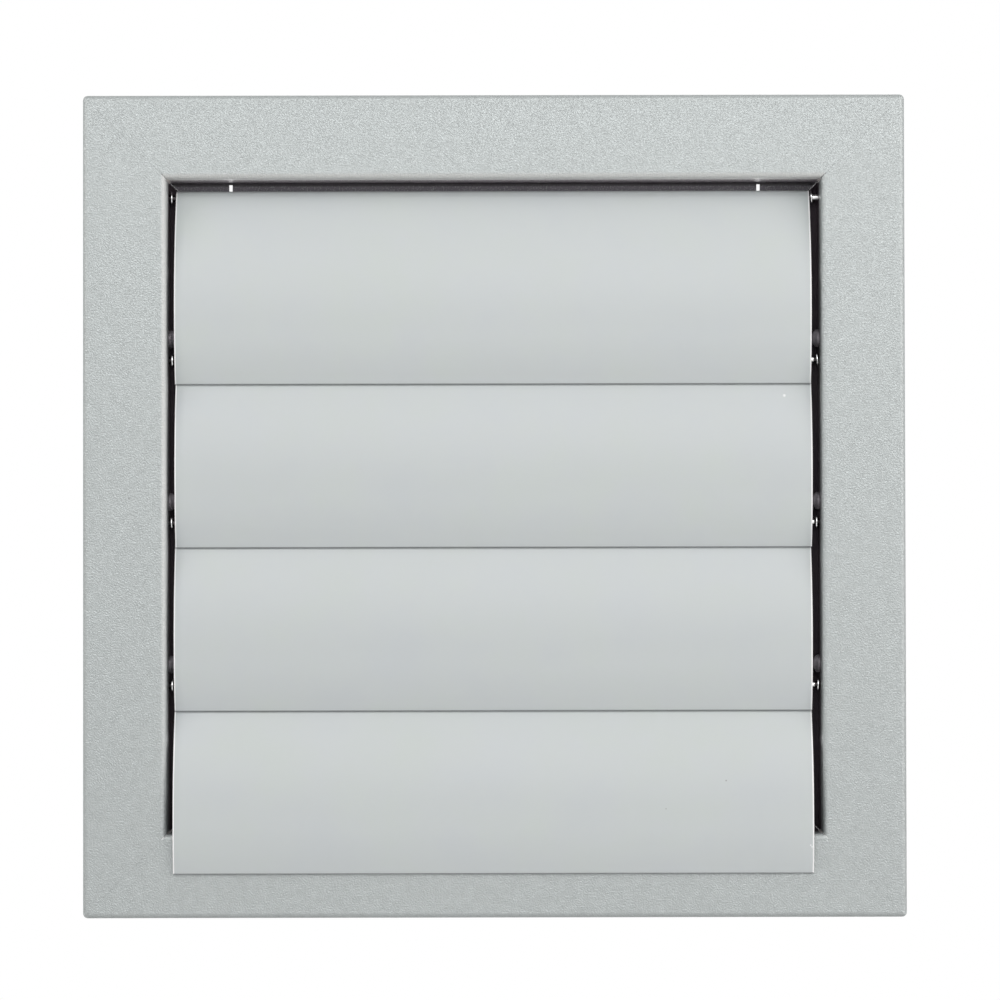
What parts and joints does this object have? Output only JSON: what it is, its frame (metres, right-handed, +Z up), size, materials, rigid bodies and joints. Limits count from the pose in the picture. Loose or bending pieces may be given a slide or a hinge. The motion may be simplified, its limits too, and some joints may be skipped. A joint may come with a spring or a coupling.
{
  "type": "louvred vent grille",
  "caption": "Square louvred vent grille: a mitred sheet frame with curved overlapping blades that hang on pins and swing open together.",
  "frame": {"origin": "middle of the opening, in the plane of the wall, which is also the middle of the fixing holes", "axes": "+X to the right seen from the front, +Y into the wall, +Z up"},
  "size_m": [0.4, 0.0279, 0.4],
  "materials": {
    "frame_paint": "fine textured silver grey powder coat",
    "blade_plastic": "satin light grey",
    "pin_steel": "bright drawn",
    "washer_steel": "bright zinc plated",
    "rivet_metal": "dull grey",
    "strip_plastic": "smooth dark moulded",
    "bracket_zinc": "galvanised"
  },
  "bodies": {
    "frame": {"frame_top_rail": "frame_paint", "frame_bottom_rail": "frame_paint", "frame_left_jamb": "frame_paint", "frame_right_jamb": "frame_paint", "corner_bracket_top_left": "bracket_zinc", "corner_bracket_top_right": "bracket_zinc", "corner_bracket_bottom_left": "bracket_zinc", "corner_bracket_bottom_right": "bracket_zinc", "bearing_strip_left": "strip_plastic", "bearing_strip_right": "strip_plastic", "rivet_left_2": "rivet_metal", "rivet_left_3": "rivet_metal", "rivet_left_4": "rivet_metal", "rivet_right_2": "rivet_metal", "rivet_right_3": "rivet_metal", "rivet_right_4": "rivet_metal", "washer_left_1": "washer_steel", "washer_left_2": "washer_steel", "washer_left_3": "washer_steel", "washer_left_4": "washer_steel", "washer_right_1": "washer_steel", "washer_right_2": "washer_steel", "washer_right_3": "washer_steel", "washer_right_4": "washer_steel"},
    "flap_1": {"blade_1": "blade_plastic", "pin_left_1": "pin_steel", "pin_right_1": "pin_steel"},
    "flap_2": {"blade_2": "blade_plastic", "pin_left_2": "pin_steel", "pin_right_2": "pin_steel"},
    "flap_3": {"blade_3": "blade_plastic", "pin_left_3": "pin_steel", "pin_right_3": "pin_steel"},
    "flap_4": {"blade_4": "blade_plastic", "pin_left_4": "pin_steel", "pin_right_4": "pin_steel"}
  },
  "joints": [
    {"name": "blade_1_swing", "type": "hinge", "parent": "frame", "child": "flap_1", "pos_m": [0, -0.0065, 0.1515], "axis": [-1, 0, 0], "range_deg": [0, 75]},
    {"name": "blade_2_swing", "type": "hinge", "parent": "frame", "child": "flap_2", "pos_m": [0, -0.0065, 0.07175], "axis": [-1, 0, 0], "range_deg": [0, 75]},
    {"name": "blade_3_swing", "type": "hinge", "parent": "frame", "child": "flap_3", "pos_m": [0, -0.0065, -0.008], "axis": [-1, 0, 0], "range_deg": [0, 75]},
    {"name": "blade_4_swing", "type": "hinge", "parent": "frame", "child": "flap_4", "pos_m": [0, -0.0065, -0.08775], "axis": [-1, 0, 0], "range_deg": [0, 75]}
  ],
  "couplings": [
    {"joint": "blade_2_swing", "follows": "blade_1_swing", "ratio": 1},
    {"joint": "blade_3_swing", "follows": "blade_1_swing", "ratio": 1},
    {"joint": "blade_4_swing", "follows": "blade_1_swing", "ratio": 1}
  ]
}
